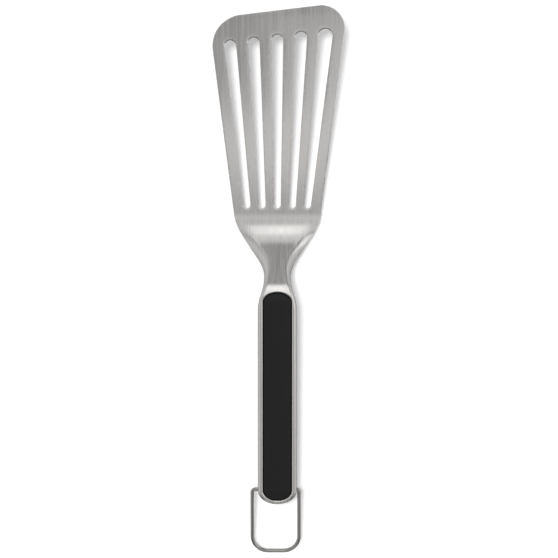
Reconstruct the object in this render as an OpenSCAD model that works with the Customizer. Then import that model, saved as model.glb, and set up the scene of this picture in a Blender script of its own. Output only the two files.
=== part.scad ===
// Grill spatula: a slotted turner head pressed in one piece with the front of a
// hollow steel handle, soft grip panels front and rear, and a swinging wire loop.
//
// Every piece is drawn in the handle's own frame: X across, Y from the butt of the
// handle towards the blade's tip, Z = 0 on the crest of the handle's front face.
// lay_down() then turns the whole tool so that it lies on a table, on the heel of
// the blade and the butt of the handle, with its box centred on the origin.

/* [Sheet] */
// Thickness of the steel sheet
sheet = 1.2; // [0.9:0.1:1.5]

/* [Blade] */
// Width of the blade where it leaves the heel
blade_root_w = 67.6; // [60:0.2:76]
// Flare of each side edge, in degrees
blade_flare = 7.2; // [5:0.2:9]
// Length of the flat blade along its middle line
blade_len = 155.6; // [128:0.2:188]
// Slant of the front edge, in degrees
front_slant = 6.8; // [0:0.2:10]
// Corner radius at the short side of the blade
short_corner_r = 24; // [10:0.5:28]
// Corner radius at the long side of the blade
long_corner_r = 17.5; // [10:0.5:24]

/* [Slots] */
// Number of slots
slot_count = 5; // [3:1:5]
// Angle between neighbouring slots, in degrees
slot_pitch = 2.94; // [2.8:0.02:3.1]
// Distance from the blade's root back to the point that the slots fan out from
slot_fan = 222; // [205:1:235]
// Width of each slot at its heel end
slot_root_w = 5.2; // [4:0.2:5.8]
// Width of each slot at its tip end
slot_tip_w = 8.9; // [6:0.1:10]
// Width at the tip end of the last slot, on the long side
last_slot_tip_w = 11; // [6:0.1:12]
// Steel left between the slots and the front edge
slot_land = 18.5; // [12:0.5:40]
// Distance from the blade's root to the heel ends of the slots
slot_start = 3.2; // [0:0.2:8]

/* [Neck] */
// Narrowest width of the neck
neck_w = 20.4; // [18:0.2:24]
// Angle of the neck to the handle, in degrees
neck_angle = 30; // [24:0.5:34]
// Length of the straight neck between its two bends
neck_len = 31.7; // [26:0.1:38]
// Angle of the blade to the handle, in degrees
blade_angle = 5.4; // [3:0.2:9]
// Radius of the bend where the handle turns down into the neck
brow_r = 25; // [20:0.5:32]
// Radius of the bend where the neck runs out into the blade
heel_r = 44; // [36:1:56]
// Length of sheet that rolls down along each side of the heel
heel_roll = 10; // [6:0.2:12]

/* [Handle] */
// Length of the handle from its butt to the bend of the neck
handle_len = 158.5; // [140:0.5:180]
// Width of the handle
handle_w = 30; // [28:0.5:33]
// Depth of the handle, front crest to rear crest
handle_depth = 16; // [15:0.5:19]
// Depth of the front shell's side walls, crest to seam
seam_depth = 11; // [10.5:0.25:12]
// Radius of the handle's long front and rear edges
shoulder_r = 1.8; // [1.4:0.1:2]
// How much the side walls swell out at mid depth
side_swell = 0.5; // [0:0.1:0.8]
// Length of the rounded butt end
butt_len = 10; // [8:0.5:12]

/* [Grips] */
// Width of each grip panel
grip_w = 21.2; // [18:0.2:22]
// Steel between the butt and the grip panels
grip_butt_land = 3.7; // [3.5:0.1:5]
// Length of the front grip panel
grip_len = 159.2; // [150:0.2:160]
// How much shorter the rear grip panel is
rear_grip_shorter = 10; // [9:1:20]
// Length of the rounded upper end of a grip panel
grip_top_arc = 7.2; // [6:0.2:10]
// Length of the rounded lower end of a grip panel
grip_low_arc = 7.3; // [6:0.1:9]
// Gap between a grip panel and the lip of its window
grip_gap = 0.3; // [0.2:0.05:0.5]
// How far the middle of a grip panel stands above its edge
grip_crown = 1.0; // [0.4:0.1:1.4]
// Edge radius of a grip panel
grip_edge_r = 1.6; // [1:0.1:2]
// Thickness of the soft skin over its carrier
grip_skin = 1.8; // [1.2:0.1:2]
// Radius over which the sheet turns down into a window
lip_r = 1.4; // [1.3:0.05:1.6]
// Depth of the turned lip
lip_depth = 2.8; // [2.4:0.1:3]

/* [Carriers] */
// Thickness of the carrier plates
plate_t = 2; // [1.6:0.1:2.2]
// Gap between a carrier plate and the steel around it
carrier_gap = 0.3; // [0.2:0.05:0.5]
// Diameter of the screw bosses
boss_d = 7.5; // [6.5:0.25:8.5]
// Diameter of the screws' shanks
screw_d = 2.9; // [2.5:0.1:3.2]
// Diameter of the screws' heads
screw_head_d = 5.6; // [5:0.1:6.4]
// Height of the screws' heads
screw_head_h = 1.8; // [1.4:0.1:2]
// Length of the screws' shanks
screw_len = 8; // [6:0.25:8]

/* [Hanging loop] */
// Diameter of the loop's wire
wire_d = 2.8; // [2.2:0.1:3]
// Distance of the loop's pivot from the butt
pivot_y = 10.8; // [10:0.1:14]
// Depth of the loop's pivot below the front crest
pivot_depth = 8; // [7.5:0.1:8.5]
// Distance from the pivot to the middle of the loop's bar
loop_len = 49; // [40:0.2:60]
// Space between the handle and the left leg of the loop
loop_gap_left = 3; // [0.5:0.1:4]
// Space between the handle and the right leg of the loop
loop_gap_right = 0.4; // [0.35:0.05:3]
// How far the wire reaches in from the handle's side
loop_reach = 6.5; // [5:0.25:8]
// Radius of the loop's lower corners, at the middle of the wire
loop_corner_r = 12; // [6:0.2:13]
// Radius of the bends into the handle, at the middle of the wire
loop_hook_r = 2.2; // [1.8:0.1:2.6]
// Radial gap between the wire and its holes in the steel
wire_gap = 0.3; // [0.2:0.05:0.4]
// Radial gap between the wire and its bearings in the carrier
bearing_gap = 0.08; // [0.05:0.01:0.1]

/* [Hidden] */
$fn = 48;

steel = [0.72, 0.72, 0.71];
soft_black = [0.13, 0.13, 0.14];
nylon_black = [0.2, 0.2, 0.21];

// Where the plan and the section change, measured back from the named lines.
taper_lead = 9;         // the handle starts to narrow before the brow
taper_tail = 18;        // and is narrowest this far past it
neck_straight = 3;      // straight stretch before the flare
flare_skew = 1.3;       // the flare widens faster at first than at last
curl_start = 7.6;       // the edges start to turn down before the root
curl_stop = 43;         // and stand square to the sheet here
flange_start = 25;      // the flange starts to deepen before the root
root_step = 0.02;
junction_gap = 5;       // the neck's sections start past the front window
corner_angle = 35;      // share of a window's end that faces the tapering side
nose_arc = 12;          // length of the rear shell's rounded nose
nose_setback = 5.8;     // its straight sides end before the rear window does

// Carriers and screws.
plate_grow = 1.9;       // plates reach past the grip's outline
rib_t = 1.5;
rib_floor = 2.5;        // ribs stop above the seam
block_y0 = 4.2;         // bearing block for the loop, from here
block_len = 13.6;
screw_places = [0.16, 0.5, 0.9];
boss_meet = 1.4;        // bosses meet below mid depth
boss_gap = 0.1;
pilot_gap = 0.05;       // round a shank in its boss
through_gap = 0.3;      // round a shank and a head in the rear carrier
head_sink = 2.2;        // a screw's head stands inside the rear crest

half_handle = handle_w / 2;
// Inner half-width of a window: the grip's half-width and its gap.
half_window = grip_w / 2 + grip_gap;
// Half-width of the flat land between the shoulder and a window's turned lip.
half_crest = half_window + lip_r;
// Distance in plan from the handle's side to the crest of its rim.
rim_out = half_handle - half_crest;
// Centre and end of the rounded parts of the windows.
window_low_y = grip_butt_land + grip_low_arc;
window_low_arc = grip_low_arc + grip_gap;
window_top_arc = grip_top_arc + grip_gap;
front_top_y = grip_butt_land + grip_len - grip_top_arc;
rear_top_y = front_top_y - rear_grip_shorter;

// ---- Side profile: handle line, brow bend, neck line, heel bend and blade line ----
brow_end_y = handle_len + brow_r * sin(neck_angle);
brow_end_z = -brow_r * (1 - cos(neck_angle));
neck_end_y = brow_end_y + neck_len * cos(neck_angle);
neck_end_z = brow_end_z - neck_len * sin(neck_angle);
root_y = neck_end_y + heel_r * (sin(neck_angle) + sin(blade_angle));
root_z = neck_end_z - heel_r * (cos(blade_angle) - cos(neck_angle));
// Where the profile runs lowest, parallel to the handle.
heel_y = neck_end_y + heel_r * sin(neck_angle);
heel_z = neck_end_z - heel_r * (1 - cos(neck_angle));

// Slope of the profile at y, positive where it rises towards the handle.
function slope(y) =
    y <= handle_len ? 0
    : y <= brow_end_y ? asin((y - handle_len) / brow_r)
    : y <= neck_end_y ? neck_angle
    : y < root_y ? asin(sin(neck_angle) - (y - neck_end_y) / heel_r)
    : -blade_angle;
// Height of the sheet's upper face at y.
function top_z(y) =
    y <= handle_len ? 0
    : y <= brow_end_y ? -brow_r * (1 - cos(slope(y)))
    : y <= neck_end_y ? brow_end_z - (y - brow_end_y) * tan(neck_angle)
    : y < root_y ? neck_end_z - heel_r * (cos(slope(y)) - cos(neck_angle))
    : root_z + (y - root_y) * tan(blade_angle);
// The point that lies a depth e under the sheet's upper face, square to it.
function under(x, y, e) = [x, y - e * sin(slope(y)), top_z(y) - e * cos(slope(y))];

// ---- Plan: half-width of the pressing along y ----
function ease(t) = t <= 0 ? 0 : t >= 1 ? 1 : t * t * (3 - 2 * t);
// The handle narrows into the neck over this stretch, then the heel flares.
taper_start_y = handle_len - taper_lead;
taper_end_y = handle_len + taper_tail;
flare_start_y = taper_end_y + neck_straight;
function blade_edge(y) = blade_root_w / 2 + (y - root_y) * tan(blade_flare);
function half_w(y) =
    y <= taper_end_y
    ? half_handle - (half_handle - neck_w / 2) * ease((y - taper_start_y) / (taper_end_y - taper_start_y))
    : neck_w / 2 + (blade_edge(y) - neck_w / 2)
      * ease(1 - pow(max(0, (root_y - y) / (root_y - flare_start_y)), flare_skew));

// ---- Section: flat middle, rounded shoulder, turned-down flange ----
// Angle through which the edge of the sheet is turned down.
function curl(y) = 90 * ease((root_y - curl_start - y) / (curl_stop - curl_start));
// Length of sheet in the shoulder, and how far a share f of it reaches outwards
// and downwards, t under the upper face.
quarter_turn = PI / 2;
function roll(y) =
    shoulder_r * quarter_turn
    + (heel_roll - shoulder_r * quarter_turn)
      * ease((y - taper_start_y) / (root_y - flange_start - taper_start_y));
function shoulder(y, f, t) =
    let (w = curl(y), q = w * f, r = w > 0 ? roll(y) * 90 / (quarter_turn * w) : 0)
    w > 0 ? [(r - t) * sin(q), r - (r - t) * cos(q)] : [roll(y) * f, t];
// Length of the straight flange beyond the shoulder.
function flange(y) =
    (seam_depth - shoulder_r) * ease((root_y - flange_start - y) / (root_y - flange_start - taper_start_y));
// Swell of the side walls, which fades out along the neck.
function swell(y, e) =
    side_swell * (1 - ease((y - taper_start_y) / (taper_end_y - taper_start_y)))
    * pow((e - pivot_depth) / pivot_depth, 2);
function half_flat(y) =
    half_w(y) - shoulder(y, 1, 0)[0] - flange(y) * cos(curl(y));

// A section is walked by m: 0 on the middle line, flat_end where the flat ends,
// arc_end where the shoulder ends and 1 at the edge. As the flange fades out
// towards the blade, its share of m goes back to the flat.
// t is 0 for the upper face and the sheet's thickness for the lower face.
arc_share = 0.4;
wall_share = 0.2;
function arc_end(y) = 1 - wall_share * min(1, flange(y) / shoulder_r);
function flat_end(y) = arc_end(y) - arc_share;
function section_raw(y, m, t) =
    let (a = half_flat(y), m1 = flat_end(y), m2 = arc_end(y))
    m <= m1 ? [a * m / m1, t]
    : [a, 0] + (
        m <= m2 ? shoulder(y, (m - m1) / arc_share, t)
        : shoulder(y, 1, t) + flange(y) * (m - m2) / (1 - m2) * [cos(curl(y)), sin(curl(y))]);
function section(y, m, t) =
    let (p = section_raw(y, abs(m), t), side = m < 0 ? -1 : 1)
    under(side * (p[0] - swell(y, p[1])), y, p[1]);

// ---- Window outlines, as half-ellipses joined by straight sides ----
function window_low(q, grow) =
    [(half_window + grow) * cos(q), window_low_y - (window_low_arc + grow) * sin(q)];
function window_top(q, top_y, grow) =
    [(half_window + grow) * cos(q), top_y + (window_top_arc + grow) * sin(q)];

// ---- The front shell's rim: one closed profile for each ray round the window ----
lip_steps = 4;
ray_steps = 6;
butt_rays = 9;
side_rays = 4;
taper_rays = 6;
// The neck's sections start here, just past the top of the window.
junction_y = front_top_y + window_top_arc + lip_r + junction_gap;
half_count = 10;
section_m = [for (k = [half_count : -1 : -half_count]) k / half_count];

// Lip of a window, from its lower edge up to the crest. win and crest are points
// in plan; back is 0 for the window side, which drops straight down, and the
// sheet's thickness for the side behind, which stays square to the sheet.
function lip(win, crest, back) =
    let (step = (crest - win) / lip_r, r = lip_r - back,
         turn = [for (k = [0 : lip_steps - 1])
             let (q = 90 * k / lip_steps, p = win + step * (back + r * (1 - cos(q))), e = lip_r - r * sin(q))
             back > 0 ? under(p[0], p[1], e) : [p[0], p[1], top_z(p[1]) - e]])
    concat([[turn[0][0], turn[0][1], -lip_depth]], turn);

// The m at which a section stands a distance out from the middle line: on its flat,
// or part of the way over its shoulder.
function m_at(out, y) =
    let (a = half_flat(y), grown = out + swell(y, 0), m1 = flat_end(y))
    grown <= a ? m1 * grown / a
    : m1 + arc_share * asin(min(1, (grown - a) * sin(curl(y)) / shoulder(y, 1, 0)[0])) / curl(y);

// A ray with both ends on the section surface: it runs in (y, m) from the crest.
function shell_ray(win, crest, edge_y, edge_m) =
    let (m0 = m_at(crest[0], crest[1]))
    [for (back = [0, sheet])
        concat(
            lip(win, crest, back),
            [for (j = [0 : ray_steps])
                let (f = j / ray_steps)
                section(crest[1] + f * (edge_y - crest[1]), m0 + f * (edge_m - m0), back)])];

// A ray over the rounded butt: the straight handle's profile, fitted between the
// butt's outline and the window's.
function butt_ray(q) =
    let (win = window_low(q, 0), crest = window_low(q, lip_r),
         rim = [half_handle * cos(q), butt_len * (1 - sin(q))],
         in_dir = (crest - rim) / rim_out)
    [for (back = [0, sheet])
        concat(
            lip(win, crest, back),
            [for (j = [0 : ray_steps])
                let (m1 = flat_end(butt_len),
                     p = section_raw(butt_len, m1 + j / ray_steps * (1 - m1), back),
                     at = rim + in_dir * (half_handle - p[0] + swell(butt_len, p[1])))
                [at[0], at[1], -p[1]]])];

right_rays = concat(
    [for (k = [0 : butt_rays - 1]) butt_ray(90 - 90 * k / butt_rays)],
    [for (k = [0 : side_rays])
        let (f = k / side_rays,
             y_win = window_low_y + f * (front_top_y - window_low_y),
             y_edge = butt_len + f * (taper_start_y - butt_len))
        shell_ray([half_window, y_win], [half_crest, y_win], y_edge, 1)],
    [for (k = [1 : taper_rays])
        let (f = k / taper_rays, q = corner_angle * f)
        shell_ray(window_top(q, front_top_y, 0), window_top(q, front_top_y, lip_r),
                  taper_start_y + f * (junction_y - taper_start_y), 1)],
    [for (k = [1 : half_count])
        let (q = corner_angle + (90 - corner_angle) * k / half_count)
        shell_ray(window_top(q, front_top_y, 0), window_top(q, front_top_y, lip_r),
                  junction_y, section_m[k])]);

function flip_x(p) = [-p[0], p[1], p[2]];
// A ray's two faces become one closed profile: up the front, back behind.
function profile(ray) = concat(ray[0], reverse(ray[1]));
function reverse(v) = [for (i = [len(v) - 1 : -1 : 0]) v[i]];
function mirrored(v) = [for (i = [len(v) - 2 : -1 : 1]) [for (p = v[i]) flip_x(p)]];
function ring_all(rays) = let (half = [for (r = rays) profile(r)]) concat(half, mirrored(half));

// ---- The neck: sections from the junction to the blade's root ----
neck_steps = 26;
neck_sections = [for (k = [1 : neck_steps])
    let (y = junction_y + (root_y - junction_y) * k / neck_steps)
    concat([for (m = section_m) section(y, m, 0)], [for (m = section_m) section(y, m, sheet)])];

module pressed_shell() {
    rings = ring_all(right_rays);
    n_rings = len(rings);
    n_prof = len(rings[0]);
    edge = lip_steps + 1 + ray_steps;           // index of the outer edge in a profile
    first = len(right_rays) - 1 - half_count;   // first ray that ends on the junction
    n_m = len(section_m);
    base = n_rings * n_prof;
    points = concat([for (r = rings) each r], [for (s = neck_sections) each s]);
    // Index of the k-th point across a neck section, upper (0) or lower (1) face.
    function at(s, k, low) =
        s == 0 ? (first + k) * n_prof + edge + low : base + (s - 1) * 2 * n_m + low * n_m + k;
    ring_faces = [for (i = [0 : n_rings - 1], j = [0 : n_prof - 1])
        let (i2 = (i + 1) % n_rings, j2 = (j + 1) % n_prof)
        if (!(j == edge && i >= first && i < first + n_m - 1))
            each [[i * n_prof + j, i2 * n_prof + j, i2 * n_prof + j2],
                  [i * n_prof + j, i2 * n_prof + j2, i * n_prof + j2]]];
    neck_faces = [for (s = [0 : neck_steps - 1], k = [0 : n_m - 2])
        each [[at(s, k, 0), at(s, k + 1, 0), at(s + 1, k + 1, 0)],
              [at(s, k, 0), at(s + 1, k + 1, 0), at(s + 1, k, 0)],
              [at(s, k, 1), at(s + 1, k + 1, 1), at(s, k + 1, 1)],
              [at(s, k, 1), at(s + 1, k, 1), at(s + 1, k + 1, 1)]]];
    edge_faces = [for (s = [0 : neck_steps - 1], k = [0, n_m - 1])
        let (a = at(s, k, 0), b = at(s + 1, k, 0), c = at(s + 1, k, 1), d = at(s, k, 1))
        each k == 0 ? [[a, b, c], [a, c, d]] : [[a, c, b], [a, d, c]]];
    end_faces = [for (k = [0 : n_m - 2])
        [at(neck_steps, k, 0), at(neck_steps, k + 1, 0), at(neck_steps, k + 1, 1), at(neck_steps, k, 1)]];
    polyhedron(points, concat(ring_faces, neck_faces, edge_faces, end_faces), convexity = 12);
}

// ---- The flat blade, drawn in its own plane from its root ----
module on_blade() {
    translate([0, root_y, root_z]) rotate([blade_angle, 0, 0]) children();
}
function front_y(x) = blade_len + x * tan(front_slant);
// Corner where a side edge meets the front edge; side is -1 or 1.
function tip_corner(side) =
    let (f = tan(blade_flare), g = side * tan(front_slant),
         x = (blade_root_w / 2 + f * blade_len) / (1 - f * g))
    [side * x, front_y(side * x)];
function unit(v) = v / norm(v);
// Centre of a round of radius r at corner p with edges along a, b.
function round_centre(p, a, b, r) =
    p + unit(unit(a) + unit(b)) * r / sin(acos(unit(a) * unit(b)) / 2);
arc_steps = 24;
function arc(centre, r, from, to) =
    [for (k = [0 : arc_steps]) let (q = from + (to - from) * k / arc_steps) centre + r * [cos(q), sin(q)]];

// The flat starts a hair inside the heel's edges, so that no two corners coincide.
root_l = [root_step - blade_root_w / 2, 0];
root_r = [blade_root_w / 2 - root_step, 0];
corner_l = tip_corner(-1);
corner_r = tip_corner(1);
round_l = round_centre(corner_l, root_l - corner_l, corner_r - corner_l, short_corner_r);
round_r = round_centre(corner_r, corner_l - corner_r, root_r - corner_r, long_corner_r);

module blade_outline() {
    polygon(concat(
        [root_l],
        arc(round_l, short_corner_r, 180 + blade_flare, 90 + front_slant),
        arc(round_r, long_corner_r, 90 + front_slant, -blade_flare),
        [root_r]));
}

// A slot: two rounds of different size and the straight sides between them.
module slot(a, tip_w) {
    r0 = slot_root_w / 2;
    r1 = tip_w / 2;
    low = [(slot_fan + slot_start + r0) * tan(a), slot_start + r0];
    high_y = (front_y(0) + slot_fan * tan(a) * tan(front_slant) - slot_land) / (1 - tan(a) * tan(front_slant)) - r1;
    high = [(slot_fan + high_y) * tan(a), high_y];
    along = atan2(high[1] - low[1], high[0] - low[0]);
    turn = 90 + asin((r1 - r0) / norm(high - low));
    polygon(concat(
        arc(high, r1, along + turn, along - turn),
        arc(low, r0, along - turn, along + turn - 360)));
}

module slots() {
    for (k = [0 : slot_count - 1])
        slot(slot_pitch * (k - (slot_count - 1) / 2),
             k == slot_count - 1 ? last_slot_tip_w : slot_tip_w);
}

module wire_bore(r, reach) {
    translate([0, pivot_y, -pivot_depth])
        for (side = [-1, 1])
            translate([side * (half_handle + 1), 0, 0]) rotate([0, -side * 90, 0]) cylinder(h = reach + 1, r = r);
}

module head_pressing() {
    color(steel) lay_down() difference() {
        union() {
            pressed_shell();
            on_blade() translate([0, 0, -sheet]) linear_extrude(sheet) blade_outline();
        }
        on_blade() translate([0, 0, -4 * sheet]) linear_extrude(8 * sheet) slots();
        wire_bore(wire_d / 2 + wire_gap, 4 * sheet);
    }
}

// ---- Rear shell: a shallow dish that closes the handle from behind ----
// It is drawn facing up, like the front, and rear_side() turns it over.
nose_y = rear_top_y + window_top_arc - nose_setback;
// Profile of its rim: f walks from the crest, over the shoulder, to the seam.
function rear_raw(f, t) =
    let (r = shoulder_r, shoulder = arc_share / (arc_share + wall_share))
    f <= shoulder
    ? let (q = 90 * f / shoulder)
      [r - (r - t) * sin(q), r - (r - t) * cos(q)]
    : [t, r + (handle_depth - seam_depth - r) * (f - shoulder) / (1 - shoulder)];
function rear_ray(win, crest, rim) =
    let (in_dir = (crest - rim) / rim_out)
    [for (back = [0, sheet])
        concat(
            lip(win, crest, back),
            [for (j = [0 : ray_steps])
                let (p = rear_raw(j / ray_steps, back),
                     inset = j == 0 ? rim_out : p[0] + swell(0, handle_depth - p[1]),
                     at = rim + in_dir * inset)
                [at[0], at[1], -p[1]]])];

rear_rays = concat(
    [for (k = [0 : butt_rays - 1])
        let (q = 90 - 90 * k / butt_rays)
        rear_ray(window_low(q, 0), window_low(q, lip_r), [half_handle * cos(q), butt_len * (1 - sin(q))])],
    [for (k = [0 : 1])
        let (y_win = k == 0 ? window_low_y : rear_top_y, y_rim = k == 0 ? butt_len : nose_y)
        rear_ray([half_window, y_win], [half_crest, y_win], [half_handle, y_rim])],
    [for (k = [1 : butt_rays])
        let (q = 90 * k / butt_rays)
        rear_ray(window_top(q, rear_top_y, 0), window_top(q, rear_top_y, lip_r),
                 [half_handle * cos(q), nose_y + nose_arc * sin(q)])]);

module rear_shell() {
    rings = ring_all(rear_rays);
    n = len(rings);
    n_prof = len(rings[0]);
    color(steel) lay_down() rear_side() polyhedron(
        [for (r = rings) each r],
        [for (i = [0 : n - 1], j = [0 : n_prof - 1])
            let (i2 = (i + 1) % n, j2 = (j + 1) % n_prof,
                 a = i * n_prof + j, b = i2 * n_prof + j, c = i2 * n_prof + j2, d = i * n_prof + j2)
            each [[a, b, c], [a, c, d]]],
        convexity = 12);
}

// ---- Grips and their carriers ----
// A length measured inwards from the grip's edge; past the edge radius, both ends
// of the outline draw in together with its width.
function drawn_in(len, inset) =
    inset <= grip_edge_r ? len - inset
    : (len - grip_edge_r) * (grip_w / 2 - inset) / (grip_w / 2 - grip_edge_r);
// Outline of a grip, half-ellipses joined by straight sides, drawn in by inset.
function grip_outline(top_y, inset) =
    let (steps = 12, half = drawn_in(grip_w / 2, inset),
         low = drawn_in(grip_low_arc, inset), top = drawn_in(grip_top_arc, inset))
    concat([for (k = [0 : steps]) let (q = 180 * k / steps) [half * cos(q), window_low_y - low * sin(q)]],
           [for (k = [0 : steps]) let (q = 180 * k / steps) [-half * cos(q), top_y + top * sin(q)]]);
// Layers of a grip panel: how far in from its edge, and how high above its seat.
crown_steps = 4;
function grip_layers() =
    let (inner = grip_w / 2 - grip_edge_r)
    concat([[0, -lip_depth - carrier_gap]],
           [for (k = [0 : 4])
               let (q = 90 * k / 4)
               [grip_edge_r * (1 - cos(q)), grip_edge_r * (sin(q) - 1)]],
           [for (k = [1 : crown_steps])
               let (f = 0.9 * k / crown_steps)
               [grip_edge_r + inner * f, grip_crown * (1 - pow(1 - f, 2))]]);

module grip_solid(top_y) {
    layers = grip_layers();
    rings = [for (l = layers) [for (p = grip_outline(top_y, l[0])) [p[0], p[1], l[1]]]];
    n = len(rings[0]);
    top = len(layers) - 1;
    polyhedron(
        [for (r = rings) each r],
        concat(
            [[for (k = [n - 1 : -1 : 0]) k]],
            [for (s = [0 : top - 1], k = [0 : n - 1])
                let (k2 = (k + 1) % n, a = s * n + k, b = s * n + k2)
                each [[a, b, b + n], [a, b + n, a + n]]],
            [[for (k = [0 : n - 1]) top * n + k]]),
        convexity = 4);
}

// The raised pad of a carrier, which fills the underside of its grip panel.
seat_z = -lip_depth - carrier_gap;
module pad(top_y, height) {
    translate([0, 0, seat_z]) linear_extrude(height)
        polygon(grip_outline(top_y, grip_skin));
}
pad_h = -seat_z - grip_skin / 2;

module grip_panel(top_y) {
    difference() {
        grip_solid(top_y);
        translate([0, 0, -1]) pad(top_y, pad_h + 1);
    }
}

// Turns a piece over so that it faces out of the rear of the handle.
module rear_side() {
    translate([0, 0, -handle_depth]) mirror([0, 0, 1]) children();
}

module front_grip() {
    color(soft_black) lay_down() grip_panel(front_top_y);
}
module rear_grip() {
    color(soft_black) lay_down() rear_side() grip_panel(rear_top_y);
}

screw_y = [for (f = screw_places) window_low_y + f * (rear_top_y - window_low_y)];
boss_meet_z = -handle_depth / 2 - boss_meet;
half_block = half_handle - sheet - side_swell - carrier_gap;

module plate(top_y) {
    translate([0, 0, seat_z - plate_t]) linear_extrude(plate_t)
        polygon(grip_outline(top_y, -plate_grow));
}

module at_screws() {
    for (y = screw_y) translate([0, y, 0]) children();
}

module front_carrier() {
    floor_z = seat_z - plate_t;
    color(nylon_black) lay_down() difference() {
        union() {
            plate(front_top_y);
            pad(front_top_y, pad_h);
            at_screws() translate([0, 0, boss_meet_z + boss_gap])
                cylinder(h = floor_z - boss_meet_z, d = boss_d);
            // Long stiffening ribs along both sides.
            for (side = [-1, 1])
                translate([side * (half_window - rib_t) - rib_t / 2, block_y0 + block_len, rib_floor - seam_depth])
                    cube([rib_t, front_top_y - block_y0 - block_len, floor_z + seam_depth - rib_floor + rib_t]);
            // Bearing block for the ends of the hanging loop.
            translate([0, 0, carrier_gap - seam_depth])
                linear_extrude(floor_z + seam_depth) intersection() {
                    polygon(grip_outline(front_top_y, carrier_gap - plate_grow));
                    translate([-half_block, block_y0]) square([2 * half_block, block_len]);
                }
        }
        wire_bore(wire_d / 2 + bearing_gap, loop_reach + 1);
        at_screws() translate([0, 0, boss_meet_z - 1]) cylinder(h = screw_len, d = screw_d + 2 * pilot_gap);
    }
}

module rear_carrier() {
    root_z = plate_t - handle_depth - seat_z - plate_t / 2;
    color(nylon_black) lay_down() difference() {
        union() {
            rear_side() plate(rear_top_y);
            rear_side() pad(rear_top_y, pad_h);
            at_screws() translate([0, 0, root_z]) cylinder(h = boss_meet_z - root_z, d = boss_d);
        }
        at_screws() translate([0, 0, -handle_depth]) {
            cylinder(h = handle_depth, d = screw_d + 2 * through_gap);
            cylinder(h = head_sink + screw_head_h, d = screw_head_d + 2 * through_gap);
        }
    }
}

module screw(y) {
    color(steel) lay_down() translate([0, y, head_sink - handle_depth]) {
        cylinder(h = screw_head_h, d = screw_head_d);
        cylinder(h = screw_head_h + screw_len, d = screw_d);
    }
}
module screw_butt() {
    screw(screw_y[0]);
}
module screw_middle() {
    screw(screw_y[1]);
}
module screw_neck() {
    screw(screw_y[2]);
}

// ---- Hanging loop ----
leg_l = half_handle + loop_gap_left + wire_d / 2;
leg_r = half_handle + loop_gap_right + wire_d / 2;
bar_len = leg_l + leg_r - 2 * loop_corner_r;

// Quarter bend of wire about the origin, from +X round to +Y.
module bend(r) {
    rotate_extrude(angle = 90) translate([r, 0]) circle(d = wire_d);
}
module wire(len) {
    rotate([0, 90, 0]) cylinder(h = len, d = wire_d);
}

// One side of the loop: its inward end, hook, leg and corner.
module loop_side(leg) {
    inward = leg - loop_hook_r - half_handle + loop_reach;
    translate([leg - loop_hook_r - inward, 0, 0]) wire(inward);
    translate([leg - loop_hook_r, -loop_hook_r, 0]) bend(loop_hook_r);
    translate([leg, -loop_hook_r, 0]) rotate([0, 0, -90]) wire(loop_len - loop_hook_r - loop_corner_r);
    translate([leg - loop_corner_r, -loop_len + loop_corner_r, 0]) rotate([0, 0, -90]) bend(loop_corner_r);
}

module hanging_loop() {
    color(steel) lay_down() translate([0, pivot_y, -pivot_depth]) rotate([loop_droop, 0, 0]) {
        loop_side(leg_r);
        mirror([1, 0, 0]) loop_side(leg_l);
        translate([loop_corner_r - leg_l, -loop_len, 0]) wire(bar_len);
    }
}

// ---- Lying pose ----
// The table touches the heel's underside and the lower end of the rear grip's crown.
heel_centre = [heel_y, heel_z + heel_r];
crown = grip_layers()[len(grip_layers()) - 1];
rest_at = [window_low_y - drawn_in(grip_low_arc, crown[0]), -handle_depth - crown[1]];
span = heel_centre - rest_at;
table_angle = atan2(span[1], span[0]) - asin((heel_r + sheet) / norm(span));
// Turned by minus this angle, the table is level.
function level(p) =
    [p[0] * cos(table_angle) + p[1] * sin(table_angle), p[1] * cos(table_angle) - p[0] * sin(table_angle)];
table_z = level(heel_centre)[1] - heel_r - sheet;
pivot_at = level([pivot_y, -pivot_depth]);
// The loop hangs down to the table when the tool lies on it.
loop_droop = asin((pivot_at[1] - table_z - wire_d / 2) / loop_len) + table_angle;
tip_at = level([root_y, root_z] + (round_r[1] + long_corner_r) * [cos(blade_angle), sin(blade_angle)]
               + sheet * [sin(blade_angle), -cos(blade_angle)]);
loop_at = pivot_at[0] - loop_len * cos(loop_droop - table_angle) - wire_d / 2;
centre_x = (round_r[0] + long_corner_r + round_l[0] - short_corner_r) / 2;
centre_y = (tip_at[0] + loop_at) / 2;

module lay_down() {
    translate([-centre_x, -centre_y, -table_z]) rotate([-table_angle, 0, 0]) children();
}

head_pressing();
rear_shell();
front_carrier();
rear_carrier();
front_grip();
rear_grip();
screw_butt();
screw_middle();
screw_neck();
hanging_loop();
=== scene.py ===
import math

import bmesh
import bpy
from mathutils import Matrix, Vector
from mathutils.geometry import delaunay_2d_cdt


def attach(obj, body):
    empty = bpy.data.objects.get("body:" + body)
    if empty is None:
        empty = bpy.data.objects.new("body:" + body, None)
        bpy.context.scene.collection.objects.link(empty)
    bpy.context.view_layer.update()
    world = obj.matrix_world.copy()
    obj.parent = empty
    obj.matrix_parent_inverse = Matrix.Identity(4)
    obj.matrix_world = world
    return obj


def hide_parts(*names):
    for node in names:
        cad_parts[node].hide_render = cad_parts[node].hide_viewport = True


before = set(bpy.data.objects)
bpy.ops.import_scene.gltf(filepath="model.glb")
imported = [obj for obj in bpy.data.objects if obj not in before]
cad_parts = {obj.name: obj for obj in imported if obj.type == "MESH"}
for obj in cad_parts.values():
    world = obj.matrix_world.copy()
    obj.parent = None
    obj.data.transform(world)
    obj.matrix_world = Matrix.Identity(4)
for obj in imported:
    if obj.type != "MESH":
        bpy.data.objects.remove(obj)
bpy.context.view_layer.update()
scene = bpy.context.scene

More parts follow.
